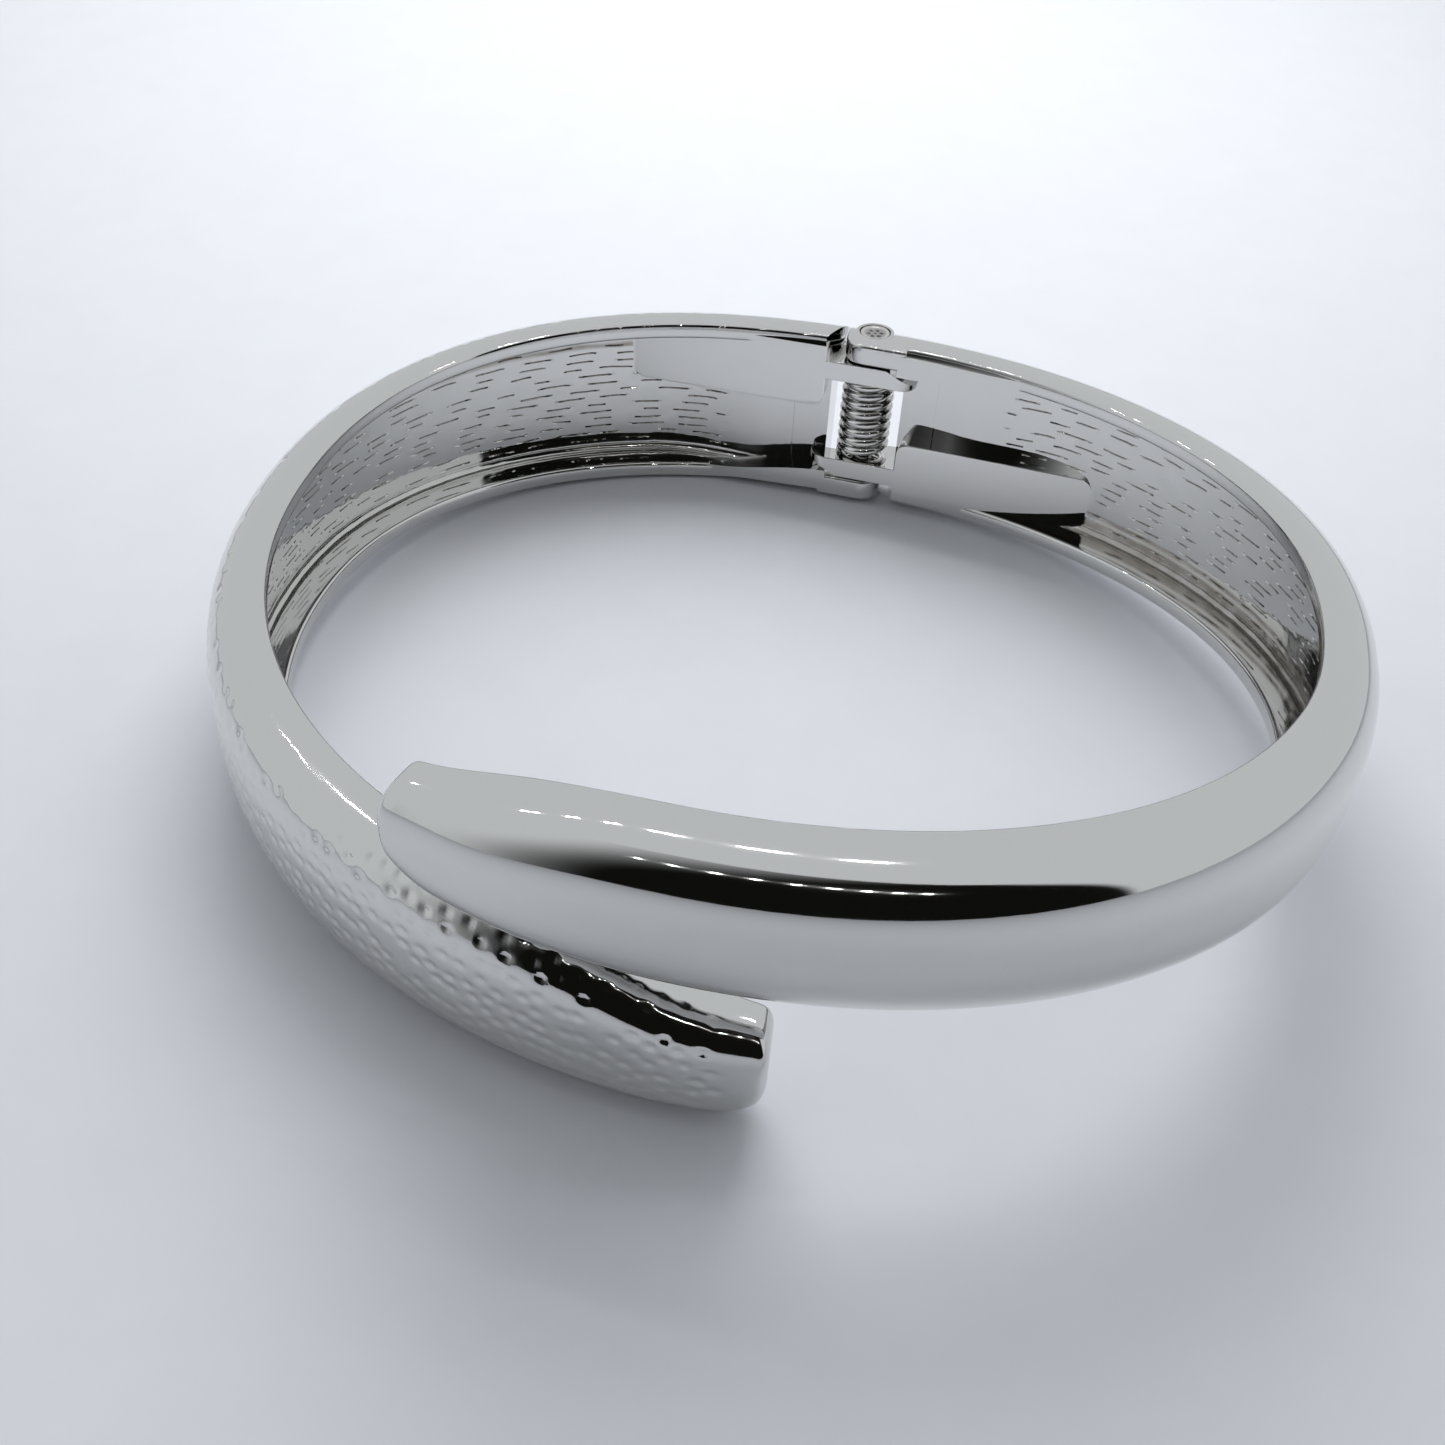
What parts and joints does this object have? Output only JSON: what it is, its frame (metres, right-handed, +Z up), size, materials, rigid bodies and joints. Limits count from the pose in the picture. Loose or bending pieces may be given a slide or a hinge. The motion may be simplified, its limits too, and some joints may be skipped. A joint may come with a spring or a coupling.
{
  "type": "bangle bracelet",
  "caption": "Hinged bypass bangle bracelet with a dimpled arm and a smooth polished arm that cross at the front and spring shut on a pin at the back.",
  "frame": {"origin": "bottom centre of the bounding box: the lowest point is the underside of the dimpled arm's tip", "axes": "+Z up along the hinge pin, +Y from the front crossing towards the hinge, +X towards the smooth arm"},
  "size_m": [0.065, 0.057, 0.0197],
  "materials": {
    "plated_casting": "bright rhodium-tone plating, mirror polished",
    "pin_steel": "plated steel pin with punched ends",
    "spring_steel": "bright nickel-plated spring wire"
  },
  "bodies": {
    "dimpled_arm": {"hammered_half": "plated_casting", "hinge_pin": "pin_steel", "torsion_spring": "spring_steel"},
    "smooth_arm": {"plain_half": "plated_casting"}
  },
  "joints": [
    {"name": "hinge", "type": "hinge", "parent": "dimpled_arm", "child": "smooth_arm", "pos_m": [0, 0.02664, 0.0109], "axis": [0, 0, 1], "range_deg": [0, 60], "stiffness_Nm_per_rad": 0.02, "springref_deg": -68.75, "deforming": ["torsion_spring"]}
  ]
}
